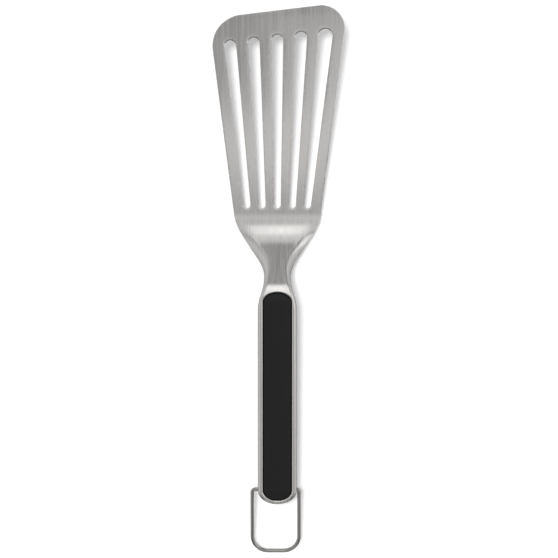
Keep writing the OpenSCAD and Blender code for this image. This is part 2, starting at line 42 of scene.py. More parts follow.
# ---- Table, light and camera ----
# The tool lies as if on clear glass, which isn't modelled, a little above a white table. It is
# seen from straight above through a long lens, and a large softbox stands beyond the blade's tip.
look_at = Vector((0.0004, 0.0012, 0.015))
lens_height, frame_width, sensor_width = 1.55, 0.4297, 36
table_drop, table_half = 0.007, 6

camera = bpy.data.objects.new("camera", bpy.data.cameras.new("camera"))
camera.data.sensor_width = sensor_width
camera.data.lens = sensor_width * lens_height / frame_width
camera.data.clip_start, camera.data.clip_end = 0.05, 20
camera.location = look_at + Vector((0, 0, lens_height))
scene.collection.objects.link(camera)
scene.camera = camera
scene.view_settings.view_transform = "Standard"


def new_material(name):
    """A material and the node of its surface."""
    material = bpy.data.materials.new(name)
    material.use_nodes = True
    return material, material.node_tree.nodes["Principled BSDF"]


def map_range(tree, value, source, target):
    """value taken from the range source to the range target, and held at its ends."""
    node = tree.nodes.new("ShaderNodeMapRange")
    node.inputs["From Min"].default_value, node.inputs["From Max"].default_value = source
    node.inputs["To Min"].default_value, node.inputs["To Max"].default_value = target
    tree.links.new(value, node.inputs["Value"])
    return node.outputs["Result"]


def math_of(tree, operation, *values):
    """What a math node makes of one or two values."""
    node = tree.nodes.new("ShaderNodeMath")
    node.operation = operation
    for value, entry in zip(values, node.inputs):
        tree.links.new(value, entry)
    return node.outputs["Value"]


table_mesh = bpy.data.meshes.new("table")
table_corners = [(x * table_half, y * table_half, -table_drop)
                 for x, y in ((-1, -1), (1, -1), (1, 1), (-1, 1))]
table_mesh.from_pydata(table_corners, [], [(0, 1, 2, 3)])
table = bpy.data.objects.new("table", table_mesh)
scene.collection.objects.link(table)
table.visible_glossy = False
table_white, paint = new_material("table_white")
paint.inputs["Base Color"].default_value = (0.93, 0.93, 0.93, 1)
paint.inputs["Roughness"].default_value = 0.9
paint.inputs["Specular IOR Level"].default_value = 0.0
paint.inputs["Emission Color"].default_value = (1, 1, 1, 1)
paint.inputs["Emission Strength"].default_value = 0.2
table_mesh.materials.append(table_white)

world = bpy.data.worlds.new("studio")
scene.world = world
world.use_nodes = True
# The room: dim overhead, pale on both sides, dark towards the handle's end and near the table.
sky = world.node_tree
facing, parted = sky.nodes.new("ShaderNodeTexCoord"), sky.nodes.new("ShaderNodeSeparateXYZ")
sky.links.new(facing.outputs["Generated"], parted.inputs["Vector"])
sideways = math_of(sky, "ABSOLUTE", parted.outputs["X"])
room = map_range(sky, sideways, (0.1, 0.75), (0.34, 0.66))
for axis, source, target in (("Z", (-0.6, 0.15), (0.8, 1.0)), ("Y", (-0.6, -0.25), (0.3, 1.0))):
    room = math_of(sky, "MULTIPLY", room, map_range(sky, parted.outputs[axis], source, target))
# A black flag to the right, between the light overhead and the fill.
flag_shade = 0.35
near_side = map_range(sky, parted.outputs["X"], (0.2, 0.3), (1.0, flag_shade))
far_side = map_range(sky, parted.outputs["X"], (0.42, 0.5), (flag_shade, 1.0))
flag = math_of(sky, "MAXIMUM", near_side, far_side)
backdrop = sky.nodes["Background"]
sky.links.new(math_of(sky, "MULTIPLY", flag, room), backdrop.inputs["Strength"])
backdrop.inputs["Color"].default_value = (1.0, 1.0, 1.0, 1)


def panel(name, place, aim, size, strength):
    """A soft rectangular light at place that faces aim."""
    light = bpy.data.lights.new(name, "AREA")
    light.shape = "RECTANGLE"
    light.size, light.size_y = size
    light.energy = strength
    lamp = bpy.data.objects.new(name, light)
    lamp.location = place
    lamp.rotation_euler = (Vector(aim) - Vector(place)).to_track_quat("-Z", "Y").to_euler()
    lamp.visible_camera = False
    scene.collection.objects.link(lamp)


# The softbox, and small panels close above the tool for the light on its bends and its blade.
panel("tip_softbox", (0.02, 0.68, 1.165), (0, 0.03, 0), (0.9, 0.9), 1.12)
panel("heel_glow", (0.0, 0.14, 0.31), (0.0, 0, 0.31), (0.04, 0.26), 0.026)
panel("brow_glow", (0, 0.03, 0.40), (0, 0, 0.40), (0.05, 0.40), 0.042)
panel("blade_strip", (0.0, 0.04, 0.30), (0.0, 0.04, 0), (0.24, 0.07), 0.016)
panel("right_strip", (0.08, 0.11, 0.30), (0.08, 0.11, 0), (0.16, 0.10), 0.008)
panel("overhead", (0.15, -0.22, 1.15), (0, 0, 0), (1.0, 0.55), 0.25)
panel("right_fill", (0.7, 0.1, 0.8), (0, 0.05, 0), (0.6, 0.7), 0.7)
panel("butt_card", (0, -0.40, 0.10), (0, -0.2, 0.05), (0.3, 0.2), 0.11)

# The table's own key light, steep and from the left, draws the narrow shadow.
table_light = bpy.data.lights.new("table_key", "SUN")
table_light.energy, table_light.angle = 1.75, math.radians(14)
table_key = bpy.data.objects.new("table_key", table_light)
table_key.rotation_euler = (math.radians(-4), math.radians(-9), 0)
scene.collection.objects.link(table_key)
lit_by_it = bpy.data.collections.new("lit_by_table_key")
lit_by_it.objects.link(table)
table_key.light_linking.receiver_collection = lit_by_it

# ---- Head pressing ----
# One stainless sheet, 1.2 mm: the slotted blade, the bent neck with turned-down
# edges and the front half of the handle, with a window whose lip is turned in.
sheet = 1.2
blade_root_w, blade_flare, blade_len = 67.6, math.radians(7.2), 155.6
front_slant, short_corner_r, long_corner_r = math.radians(6.8), 24.0, 17.5
slot_count, slot_pitch, slot_fan = 5, math.radians(2.94), 222.0
slot_root_w, slot_tip_w, last_slot_tip_w = 5.2, 8.9, 11.0
slot_land, slot_start = 18.5, 3.2
neck_w, neck_len, neck_angle, blade_angle = 20.4, 31.7, math.radians(30), math.radians(5.4)
brow_r, heel_r, heel_roll = 25.0, 44.0, 10.0
# The handle narrows from taper_lead before the brow to taper_tail past it. The heel then flares
# after a straight stretch, faster at first, which is its skew.
taper_lead, taper_tail, neck_straight, flare_skew = 9, 18, 3, 1.3
# Before the blade's root, the sheet's edges start to turn down, stand square, and grow a flange.
curl_start, curl_stop, flange_start = 7.6, 43, 25
handle_len, handle_w, handle_depth, seam_depth = 158.5, 30.0, 16.0, 11.0
shoulder_r, side_swell, butt_len = 1.8, 0.5, 10.0
grip_w, grip_gap, lip_r, lip_depth = 21.2, 0.3, 1.4, 2.8
window_low_y, window_low_arc, window_top_arc, front_top_y = 11.0, 7.6, 7.5, 155.7
junction_gap = 5
pivot_y, pivot_depth, wire_hole_r = 10.8, 8.0, 1.7
# How far the face rolls down, and over what width: towards the front edge, at every cut edge,
# and at the slots' tip ends, which lie within a reach of the land before the front edge.
front_ease, front_ease_w, edge_roll, edge_roll_w = 0.17, 4.0, 0.2, 0.9
top_roll, top_roll_reach = 0.45, 3

# How the tool lies on the table: its tilt, and the place of its box's middle.
lie_tilt = math.radians(2.54879)
lie_x, lie_y, lie_z = 0.89088, 172.496, -16.5094
mm = 0.001


def lay_down(p):
    """A point of the handle's own frame, in millimetres, to its place on the table, in metres."""
    x, y, z = p
    c, s = math.cos(lie_tilt), math.sin(lie_tilt)
    return ((x - lie_x) * mm, (y * c - z * s - lie_y) * mm, (y * s + z * c - lie_z) * mm)


half_handle = handle_w / 2
half_window = grip_w / 2 + grip_gap
half_crest = half_window + lip_r
rim_out = half_handle - half_crest
brow_end_y = handle_len + brow_r * math.sin(neck_angle)
brow_end_z = -brow_r * (1 - math.cos(neck_angle))
neck_end_y = brow_end_y + neck_len * math.cos(neck_angle)
neck_end_z = brow_end_z - neck_len * math.sin(neck_angle)
root_y = neck_end_y + heel_r * (math.sin(neck_angle) + math.sin(blade_angle))
root_z = neck_end_z - heel_r * (math.cos(blade_angle) - math.cos(neck_angle))
taper_start_y, taper_end_y = handle_len - taper_lead, handle_len + taper_tail
flare_start_y = taper_end_y + neck_straight
flange_end_y = root_y - flange_start
junction_y = front_top_y + window_top_arc + lip_r + junction_gap


def ease(t):
    """A share that starts and ends gently."""
    t = min(max(t, 0.0), 1.0)
    return t * t * (3 - 2 * t)


def slope(y):
    """Slope of the sheet's middle line at y, positive where it rises towards the handle."""
    if y <= handle_len:
        return 0.0
    if y <= brow_end_y:
        return math.asin((y - handle_len) / brow_r)
    if y <= neck_end_y:
        return neck_angle
    if y < root_y:
        return math.asin(math.sin(neck_angle) - (y - neck_end_y) / heel_r)
    return -blade_angle


def top_z(y):
    """Height of the sheet's middle line at y, from the crest of the handle."""
    if y <= handle_len:
        return 0.0
    if y <= brow_end_y:
        return -brow_r * (1 - math.cos(slope(y)))
    if y <= neck_end_y:
        return brow_end_z - (y - brow_end_y) * math.tan(neck_angle)
    if y < root_y:
        return neck_end_z - heel_r * (math.cos(slope(y)) - math.cos(neck_angle))
    return root_z + (y - root_y) * math.tan(blade_angle)


def blade_edge(y):
    """Half the width between the blade's flared sides, and their lines carried on, at y."""
    return blade_root_w / 2 + (y - root_y) * math.tan(blade_flare)


def half_width(y):
    """Half the width of the handle, the neck or the heel at y."""
    if y <= taper_end_y:
        narrowed = ease((y - taper_start_y) / (taper_end_y - taper_start_y))
        return half_handle - (half_handle - neck_w / 2) * narrowed
    flared = 1 - max(0, (root_y - y) / (root_y - flare_start_y)) ** flare_skew
    return neck_w / 2 + (blade_edge(y) - neck_w / 2) * ease(flared)


def curl(y):
    """Angle through which the sheet's edge is turned down at y."""
    return math.pi / 2 * ease((root_y - curl_start - y) / (curl_stop - curl_start))


def flange_grown(y):
    """The share of its full size that the flange has at y."""
    return ease((flange_end_y - y) / (flange_end_y - taper_start_y))


def flange(y):
    """Length of sheet below the rolled shoulder at y."""
    return (seam_depth - shoulder_r) * flange_grown(y)


def shoulder(y, f):
    """How far out and down a share f of the rolled shoulder reaches from the flat's end."""
    least = shoulder_r * math.pi / 2
    length = least + (heel_roll - least) * ease((y - taper_start_y) / (flange_end_y - taper_start_y))
    turned = curl(y)
    if turned <= 0:
        return length * f, 0.0
    radius = length / turned
    return radius * math.sin(turned * f), radius * (1 - math.cos(turned * f))


def swell(y, depth):
    """How far the handle's side wall stands in from its widest, at a depth below the crest."""
    fade = 1 - ease((y - taper_start_y) / (taper_end_y - taper_start_y))
    return side_swell * fade * ((depth - pivot_depth) / pivot_depth) ** 2


# Shares of a section's walk that its flange, at most, and its rounded shoulder take up.
flange_share, shoulder_share = 0.2, 0.4


def shoulder_span(y):
    """Shares of a section's walk at which its flat ends and its rounded shoulder ends."""
    arc_end = 1 - flange_share * min(1, flange(y) / shoulder_r)
    return arc_end - shoulder_share, arc_end


def half_flat(y):
    """Half the width of the flat between the two shoulders at y."""
    return half_width(y) - shoulder(y, 1)[0] - flange(y) * math.cos(curl(y))


def section_raw(y, m):
    """How far out and how deep the upper face lies, a share m of the way from middle to edge."""
    turned, flat = curl(y), half_flat(y)
    flat_end, arc_end = shoulder_span(y)
    if m <= flat_end:
        return flat * m / flat_end, 0.0
    out, depth = shoulder(y, min(1, (m - flat_end) / (arc_end - flat_end)))
    down = flange(y) * (m - arc_end) / (1 - arc_end) if m > arc_end else 0.0
    return flat + out + down * math.cos(turned), depth + down * math.sin(turned)


def under(x, y, depth):
    """A point at a depth square below the middle line's height at y."""
    return (x, y - depth * math.sin(slope(y)), top_z(y) - depth * math.cos(slope(y)))


def section(y, m):
    """A point of the section at y, a share m of the way from the middle to the right edge."""
    out, depth = section_raw(y, abs(m))
    return under(math.copysign(out - swell(y, depth), m), y, depth)


def window_low(q, grow):
    """A point of the window's butt end at the angle q, grown outwards."""
    return ((half_window + grow) * math.cos(q), window_low_y - (window_low_arc + grow) * math.sin(q))


def window_top(q, top_y, grow):
    """A point of a window's blade end at the angle q, grown outwards."""
    return ((half_window + grow) * math.cos(q), top_y + (window_top_arc + grow) * math.sin(q))


def lip(win, crest, steps=9):
    """The turned lip of a window, from its lower edge up to the crest."""
    step = ((crest[0] - win[0]) / lip_r, (crest[1] - win[1]) / lip_r)
    points = [(win[0], win[1], -lip_depth)]
    for k in range(steps):
        q = math.pi / 2 * k / steps
        out = lip_r * (1 - math.cos(q))
        x, y = win[0] + step[0] * out, win[1] + step[1] * out
        points.append((x, y, top_z(y) - lip_r * (1 - math.sin(q))))
    return points


ray_steps = 26


def walked_to(out, y):
    """The share of a section's walk at which it stands a distance out from the middle line."""
    grown, flat = out + swell(y, 0), half_flat(y)
    flat_end, arc_end = shoulder_span(y)
    if grown <= flat:
        return flat_end * grown / flat
    sine = min(1, (grown - flat) * math.sin(curl(y)) / shoulder(y, 1)[0])
    return flat_end + (arc_end - flat_end) * math.asin(sine) / curl(y)


def shell_ray(win, crest, edge_y, edge_m):
    """A walk over the sheet from the window's lip to a point of its edge."""
    start_m = walked_to(crest[0], crest[1])
    shares = [j / ray_steps for j in range(ray_steps + 1)]
    return lip(win, crest) + [
        section(crest[1] + f * (edge_y - crest[1]), start_m + f * (edge_m - start_m)) for f in shares]


def butt_ray(q):
    """A walk over the rounded butt, at the angle q, from the window's lip to the seam."""
    win, crest = window_low(q, 0), window_low(q, lip_r)
    rim = (half_handle * math.cos(q), butt_len * (1 - math.sin(q)))
    inward = ((crest[0] - rim[0]) / rim_out, (crest[1] - rim[1]) / rim_out)
    flat_end = shoulder_span(butt_len)[0]
    ray = lip(win, crest)
    for j in range(ray_steps + 1):
        out, depth = section_raw(butt_len, flat_end + j / ray_steps * (1 - flat_end))
        inset = half_handle - out + swell(butt_len, depth)
        ray.append((rim[0] + inward[0] * inset, rim[1] + inward[1] * inset, -depth))
    return ray


# Rays round the butt, along a side, beside the taper and over the window's top. The first 35
# degrees of the window's top face the taper.
butt_rays, side_rays, taper_rays, half_count = 28, 64, 16, 28
corner_angle = math.radians(35)
right_rays = [butt_ray(math.pi / 2 * (1 - k / butt_rays)) for k in range(butt_rays)]
for k in range(side_rays + 1):
    f = k / side_rays
    y_win = window_low_y + f * (front_top_y - window_low_y)
    y_edge = butt_len + f * (taper_start_y - butt_len)
    right_rays.append(shell_ray((half_window, y_win), (half_crest, y_win), y_edge, 1))
for k in range(1, taper_rays + 1):
    f = k / taper_rays
    right_rays.append(shell_ray(window_top(corner_angle * f, front_top_y, 0),
                                window_top(corner_angle * f, front_top_y, lip_r),
                                taper_start_y + f * (junction_y - taper_start_y), 1))
for k in range(1, half_count + 1):
    q = corner_angle + (math.pi / 2 - corner_angle) * k / half_count
    right_rays.append(shell_ray(window_top(q, front_top_y, 0), window_top(q, front_top_y, lip_r),
                                junction_y, 1 - k / half_count))


def both_sides(half):
    """Rays of the right side and their mirror images, as one ring."""
    return half + [[(-x, y, z) for x, y, z in ray] for ray in half[-2:0:-1]]


def ring_surface(rings):
    """Points and quads of a closed ring of rays."""
    n, steps = len(rings), len(rings[0])
    quads = []
    for i in range(n):
        for j in range(steps - 1):
            a, b = i * steps + j, (i + 1) % n * steps + j
            quads.append((a, b, b + 1, a + 1))
    return [p for ray in rings for p in ray], quads


def sheet_object(name, points, faces, turned_over=False):
    """A piece of sheet with its wall, from the points of its outer face."""
    mesh = bpy.data.meshes.new(name)
    mesh.from_pydata([lay_down(p) for p in points], [], faces)
    work = bmesh.new()
    work.from_mesh(mesh)
    bmesh.ops.remove_doubles(work, verts=work.verts, dist=0.002 * mm)
    bmesh.ops.recalc_face_normals(work, faces=work.faces)
    crest = max(work.faces, key=lambda face: face.calc_center_median().z * (-1 if turned_over else 1))
    if (crest.normal.z < 0) != turned_over:
        bmesh.ops.reverse_faces(work, faces=work.faces)
    work.to_mesh(mesh)
    work.free()
    mesh.shade_smooth()
    piece = bpy.data.objects.new(name, mesh)
    scene.collection.objects.link(piece)
    wall = piece.modifiers.new("wall", "SOLIDIFY")
    wall.thickness, wall.offset = sheet * mm, -1
    return piece


def soften(piece):
    """Rounds a sheet's cut edges a little and evens its shading."""
    edges = piece.modifiers.new("soft_edges", "BEVEL")
    edges.width, edges.segments = 0.22 * mm, 2
    edges.limit_method, edges.angle_limit = "ANGLE", math.radians(42)
    edges.use_clamp_overlap = True
    shade = piece.modifiers.new("even_shading", "WEIGHTED_NORMAL")
    shade.keep_sharp = True


points, faces = ring_surface(both_sides(right_rays))

# The neck, in sections from above the window to the root of the blade.
neck_steps = 70
walk = [1 - k / half_count for k in range(2 * half_count + 1)]
for s in range(neck_steps):
    y0 = junction_y + (root_y - junction_y) * s / neck_steps
    y1 = junction_y + (root_y - junction_y) * (s + 1) / neck_steps
    for m0, m1 in zip(walk, walk[1:]):
        base = len(points)
        points += [section(y0, m0), section(y0, m1), section(y1, m1), section(y1, m0)]
        faces.append((base, base + 1, base + 2, base + 3))

# The blade, drawn flat: x across and v along it, from its root.
corner_steps, slot_tip_steps, slot_foot_steps = 20, 24, 16


def front_edge(x):
    """How far from the blade's root its slanted front edge lies at x."""
    return blade_len + x * math.tan(front_slant)


def rounded_corner(side, radius):
    """Points of a rounded tip corner, from the side edge to the front edge."""
    flare, slant = math.tan(blade_flare), side * math.tan(front_slant)
    x = (blade_root_w / 2 + flare * blade_len) / (1 - flare * slant)
    corner = Vector((side * x, front_edge(side * x)))
    down = Vector((-side * flare, -1)).normalized()
    across = Vector((-side, -side * math.tan(front_slant))).normalized()
    half = down.angle(across) / 2
    centre = corner + (down + across).normalized() * radius / math.sin(half)
    start = corner + down * radius / math.tan(half) - centre
    sweep = math.pi - 2 * half
    return [centre + Vector((start.x * math.cos(a) - start.y * math.sin(a),
                             start.x * math.sin(a) + start.y * math.cos(a)))
            for a in [side * sweep * k / corner_steps for k in range(corner_steps + 1)]]


def slot_outline(angle, tip_w):
    """A slot that leans by an angle: a round at each end and the straight sides between them."""
    t, slant = math.tan(angle), math.tan(front_slant)
    r0, r1 = slot_root_w / 2, tip_w / 2
    low = Vector(((slot_fan + slot_start + r0) * t, slot_start + r0))
    high_y = (blade_len + slot_fan * t * slant - slot_land) / (1 - t * slant) - r1
    high = Vector(((slot_fan + high_y) * t, high_y))
    along = math.atan2(high.y - low.y, high.x - low.x)
    lean = math.asin((r1 - r0) / (high - low).length)
    turn = math.pi / 2 + lean
    arc_high = [along + turn - 2 * turn * k / slot_tip_steps for k in range(slot_tip_steps + 1)]
    arc_low = [along - turn - 2 * (math.pi - turn) * k / slot_foot_steps
               for k in range(slot_foot_steps + 1)]
    tip = [high + r1 * Vector((math.cos(a), math.sin(a))) for a in arc_high]
    foot = [low + r0 * Vector((math.cos(a), math.sin(a))) for a in arc_low]
    return divided(tip + foot, 3.0)


def divided(loop, longest):
    """The closed loop with points added so that no step is longer than given."""
    out = []
    for a, b in zip(loop, loop[1:] + loop[:1]):
        n = max(1, math.ceil((b - a).length / longest))
        out += [a + (b - a) * k / n for k in range(n)]
    return out


def inside(p, loop):
    """Whether a point lies within a closed loop."""
    hit = False
    for a, b in zip(loop, loop[1:] + loop[:1]):
        if (a.y > p.y) != (b.y > p.y) and p.x < a.x + (p.y - a.y) / (b.y - a.y) * (b.x - a.x):
            hit = not hit
    return hit


foot_line = [Vector((section(root_y, m)[0], 0)) for m in walk]
outline = divided([*foot_line[::-1], *rounded_corner(1, long_corner_r),
                   *rounded_corner(-1, short_corner_r)[::-1]], 2.5)
slots = [slot_outline(slot_pitch * (k - (slot_count - 1) / 2),
                      last_slot_tip_w if k == slot_count - 1 else slot_tip_w)
         for k in range(slot_count)]


# The roll of the cut edges begins this far from the blade's root.
rolled_from = 1


def on_steel(p):
    """Whether a point of the flat blade lies on steel, and not in a slot."""
    return inside(p, outline) and not any(inside(p, slot) for slot in slots)


def beside(loop):
    """Points on the steel where the rolled edge along the loop begins."""
    begins = []
    for a, p, b in zip(loop[-1:] + loop[:-1], loop, loop[1:] + loop[:1]):
        across = Vector((b.y - a.y, a.x - b.x)).normalized() * edge_roll_w
        if p.y > rolled_from:
            begins += [q for q in (p + across, p - across) if on_steel(q)]
    return begins


flat_points, flat_edges = [], []
for loop in [outline, *slots]:
    base = len(flat_points)
    flat_points += loop
    flat_edges += [(base + k, base + (k + 1) % len(loop)) for k in range(len(loop))]
# Points before this one lie on a cut edge.
on_edge = len(flat_points)
for loop in [outline, *slots]:
    flat_points += beside(loop)
# Points of even triangles fill the steel, clear of the border's own points.
grid_step, grid_half, row_pitch, grid_clear, front_margin = 2.4, 24, 0.866, 0.9, 24
border = list(flat_points)
for row in range(int((blade_len + front_margin) / grid_step)):
    for column in range(-grid_half, grid_half + 1):
        p = Vector(((column + row % 2 * 0.5) * grid_step, (row + 0.5) * grid_step * row_pitch))
        if on_steel(p) and min((p - b).length for b in border) > grid_clear:
            flat_points.append(p)
verts, _, tris, sources, *_ = delaunay_2d_cdt(flat_points, flat_edges, [], 0, 1e-5)
base = len(points)
for p, source in zip(verts, sources):
    y = root_y + p.y * math.cos(blade_angle)
    from_front = (front_edge(p.x) - p.y) * math.cos(front_slant)
    eased = front_ease * max(0, 1 - from_front / front_ease_w) ** 2
    if min(source) < on_edge and p.y > rolled_from:
        at_slot_top = min(source) >= len(outline) and from_front < slot_land + top_roll_reach
        eased = max(eased, top_roll if at_slot_top else edge_roll)
    points.append((p.x, y, top_z(y) - eased))
sliver = 0.02
for tri in tris:
    a, b, c = (verts[k] for k in tri)
    if abs((b - a).cross(c - a)) > sliver and on_steel((a + b + c) / 3):
        faces.append(tuple(base + k for k in tri))

head = sheet_object("head_skin", points, faces)


def drill(piece, radius):
    """Cuts the cross holes for the hanging loop through a piece's walls."""
    ring, past = 40, 4
    centre = [lay_down((x, pivot_y, -pivot_depth)) for x in (-half_handle - past, half_handle + past)]
    rim = [(x, y + radius * mm * math.cos(a), z + radius * mm * math.sin(a))
           for x, y, z in centre for a in [2 * math.pi * k / ring for k in range(ring)]]
    sides = [(k, (k + 1) % ring, ring + (k + 1) % ring, ring + k) for k in range(ring)]
    cutter_mesh = bpy.data.meshes.new("hole")
    cutter_mesh.from_pydata(rim, [], [tuple(range(ring))[::-1], tuple(range(ring, 2 * ring)), *sides])
    cutter = bpy.data.objects.new("hole", cutter_mesh)
    scene.collection.objects.link(cutter)
    cut = piece.modifiers.new("cross_holes", "BOOLEAN")
    cut.operation, cut.object, cut.solver = "DIFFERENCE", cutter, "EXACT"
    graph = bpy.context.evaluated_depsgraph_get()
    piece.data = bpy.data.meshes.new_from_object(piece.evaluated_get(graph))
    piece.modifiers.clear()
    bpy.data.objects.remove(cutter)


drill(head, wire_hole_r)
soften(head)

# Brushed grain: long streaks along the tool, finer scratches between them.
grain = bpy.data.node_groups.new("brushed_grain", "ShaderNodeTree")
grain.interface.new_socket("Roughness", in_out="INPUT", socket_type="NodeSocketFloat")
grain.interface.new_socket("Shade", in_out="OUTPUT", socket_type="NodeSocketFloat")
grain.interface.new_socket("Roughness", in_out="OUTPUT", socket_type="NodeSocketFloat")
grain.interface.new_socket("Height", in_out="OUTPUT", socket_type="NodeSocketFloat")
g = grain.nodes
entry, leave = g.new("NodeGroupInput"), g.new("NodeGroupOutput")
spot = g.new("ShaderNodeTexCoord")


def streaks(across, along, detail):
    """Noise drawn out along the tool: how many streaks a metre across and along."""
    stretch = g.new("ShaderNodeMapping")
    stretch.inputs["Scale"].default_value = (across, along, 3 * along)
    grain.links.new(spot.outputs["Object"], stretch.inputs["Vector"])
    noise = g.new("ShaderNodeTexNoise")
    noise.inputs["Scale"].default_value = 1.0
    noise.inputs["Detail"].default_value = detail
    noise.inputs["Roughness"].default_value = 0.6
    grain.links.new(stretch.outputs["Vector"], noise.inputs["Vector"])
    return noise.outputs["Fac"]


def sum_of(a, b, share):
    """a and b mixed, share of b."""
    mix = g.new("ShaderNodeMix")
    mix.inputs["Factor"].default_value = share
    grain.links.new(a, mix.inputs["A"])
    grain.links.new(b, mix.inputs["B"])
    return mix.outputs["Result"]


broad, fine = streaks(260, 5, 3), streaks(1300, 20, 3)
both = sum_of(broad, fine, 0.6)
# Most of the noise lies in this span.
noise_span = (0.3, 0.7)
grain.links.new(map_range(grain, both, noise_span, (0.86, 1.12)), leave.inputs["Shade"])
uneven = map_range(grain, both, noise_span, (0.6, 1.5))
grain.links.new(math_of(grain, "MULTIPLY", uneven, entry.outputs["Roughness"]), leave.inputs["Roughness"])
grain.links.new(fine, leave.inputs["Height"])


def add_relief(tree, surface, height, strength, distance):
    """Gives a surface node a fine relief from a height."""
    bump = tree.nodes.new("ShaderNodeBump")
    bump.inputs["Strength"].default_value = strength
    bump.inputs["Distance"].default_value = distance
    tree.links.new(height, bump.inputs["Height"])
    tree.links.new(bump.outputs["Normal"], surface.inputs["Normal"])


def steel_finish(name, colour, roughness, relief):
    """Stainless steel with a brushed grain along the tool."""
    steel, metal = new_material(name)
    tree = steel.node_tree
    metal.inputs["Metallic"].default_value = 1.0
    brushed = tree.nodes.new("ShaderNodeGroup")
    brushed.node_tree = grain
    brushed.inputs["Roughness"].default_value = roughness
    tint = tree.nodes.new("ShaderNodeMix")
    tint.data_type, tint.blend_type = "RGBA", "MULTIPLY"
    tint.inputs["Factor"].default_value = 1.0
    tint.inputs["A"].default_value = (*colour, 1)
    tree.links.new(brushed.outputs["Shade"], tint.inputs["B"])
    tree.links.new(tint.outputs["Result"], metal.inputs["Base Color"])
    tree.links.new(brushed.outputs["Roughness"], metal.inputs["Roughness"])
    add_relief(tree, metal, brushed.outputs["Height"], relief, 0.02 * mm)
    return steel


brushed_steel = steel_finish("brushed_steel", (0.72, 0.705, 0.69), 0.22, 0.8)
head.data.materials.append(brushed_steel)
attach(head, "tool")
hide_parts("head_pressing")

# ---- Rear shell ----
# The second pressing, a shallow dish of the same sheet that closes the handle
# from behind. Its window, for the rear grip, is shorter than the front one.
rear_window_short, nose_setback, nose_arc = 10, 5.8, 12.0
rear_top_y = front_top_y - rear_window_short
nose_y = rear_top_y + window_top_arc - nose_setback
rear_depth = handle_depth - seam_depth
rear_side_steps = 20


def rear_wall(f):
    """How far in and how deep the outer face lies, a share f of its walk from the crest to the seam."""
    # The rounded shoulder takes up this share of the walk, and the straight wall the rest.
    round_share = 0.6
    f /= round_share
    if f <= 1:
        return shoulder_r * (1 - math.sin(f * math.pi / 2)), shoulder_r * (1 - math.cos(f * math.pi / 2))
    return 0.0, shoulder_r + (rear_depth - shoulder_r) * (f - 1) / (1 / round_share - 1)


def rear_ray(win, crest, rim):
    """A walk over the dish from its window's lip, across the crest to a point of its rim."""
    inward = ((crest[0] - rim[0]) / rim_out, (crest[1] - rim[1]) / rim_out)
    ray = lip(win, crest)
    for j in range(ray_steps + 1):
        inset, depth = rear_wall(j / ray_steps)
        inset = rim_out if j == 0 else inset + swell(0, handle_depth - depth)
        ray.append((rim[0] + inward[0] * inset, rim[1] + inward[1] * inset, -depth))
    return ray


rear_rays = []
for k in range(butt_rays):
    q = math.pi / 2 * (1 - k / butt_rays)
    rear_rays.append(rear_ray(window_low(q, 0), window_low(q, lip_r),
                              (half_handle * math.cos(q), butt_len * (1 - math.sin(q)))))
for k in range(rear_side_steps + 1):
    f = k / rear_side_steps
    y_win = window_low_y + f * (rear_top_y - window_low_y)
    y_rim = butt_len + f * (nose_y - butt_len)
    rear_rays.append(rear_ray((half_window, y_win), (half_crest, y_win), (half_handle, y_rim)))
for k in range(1, butt_rays + 1):
    q = math.pi / 2 * k / butt_rays
    rear_rays.append(rear_ray(window_top(q, rear_top_y, 0), window_top(q, rear_top_y, lip_r),
                              (half_handle * math.cos(q), nose_y + nose_arc * math.sin(q))))
points, faces = ring_surface(both_sides(rear_rays))
points = [(x, y, -handle_depth - z) for x, y, z in points]
rear = sheet_object("rear_skin", points, faces, turned_over=True)
soften(rear)
rear.data.materials.append(brushed_steel)
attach(rear, "tool")
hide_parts("rear_shell")

# ---- Carriers and screws ----
# Moulded nylon inserts inside the handle, and the three plated screws that pull
# them together. They are seen only through the gaps round the grips.


def grained(tree, scale, detail):
    """Fine even noise over a moulded surface."""
    spot = tree.nodes.new("ShaderNodeTexCoord")
    noise = tree.nodes.new("ShaderNodeTexNoise")
    noise.inputs["Scale"].default_value = scale
    noise.inputs["Detail"].default_value = detail
    tree.links.new(spot.outputs["Object"], noise.inputs["Vector"])
    return noise.outputs["Fac"]


nylon, body = new_material("moulded_nylon")
body.inputs["Base Color"].default_value = (0.005, 0.005, 0.0055, 1)
body.inputs["Specular IOR Level"].default_value = 0.2
matt = map_range(nylon.node_tree, grained(nylon.node_tree, 2600, 2), (0, 1), (0.5, 0.75))
nylon.node_tree.links.new(matt, body.inputs["Roughness"])
for node in ("front_carrier", "rear_carrier"):
    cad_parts[node].data.materials.clear()
    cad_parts[node].data.materials.append(nylon)
plated = steel_finish("plated_screw", (0.5, 0.5, 0.5), 0.35, 0.2)
for node in ("screw_butt", "screw_middle", "screw_neck"):
    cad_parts[node].data.materials.clear()
    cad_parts[node].data.materials.append(plated)

# ---- Grips ----
# Soft black panels formed over the carriers. Each stands a little proud of the
# steel, crowned along its middle, with a rounded edge and a fine moulded skin.
grip_edge_r, grip_crown, grip_skin = 1.2, 1.0, 1.8
grip_low_arc, grip_top_arc, carrier_gap = 7.3, 7.2, 0.3
seat_z = -lip_depth - carrier_gap
# Steps round each end, along each side, round the edge and over the crown, which stops just
# short of the middle.
end_steps, side_steps, edge_steps, crown_steps, crown_stop = 40, 30, 8, 14, 0.97


def drawn_in(length, inset):
    """A half length of the grip's outline, moved in: evenly over the edge, then to nothing."""
    if inset <= grip_edge_r:
        return length - inset
    return (length - grip_edge_r) * (grip_w / 2 - inset) / (grip_w / 2 - grip_edge_r)


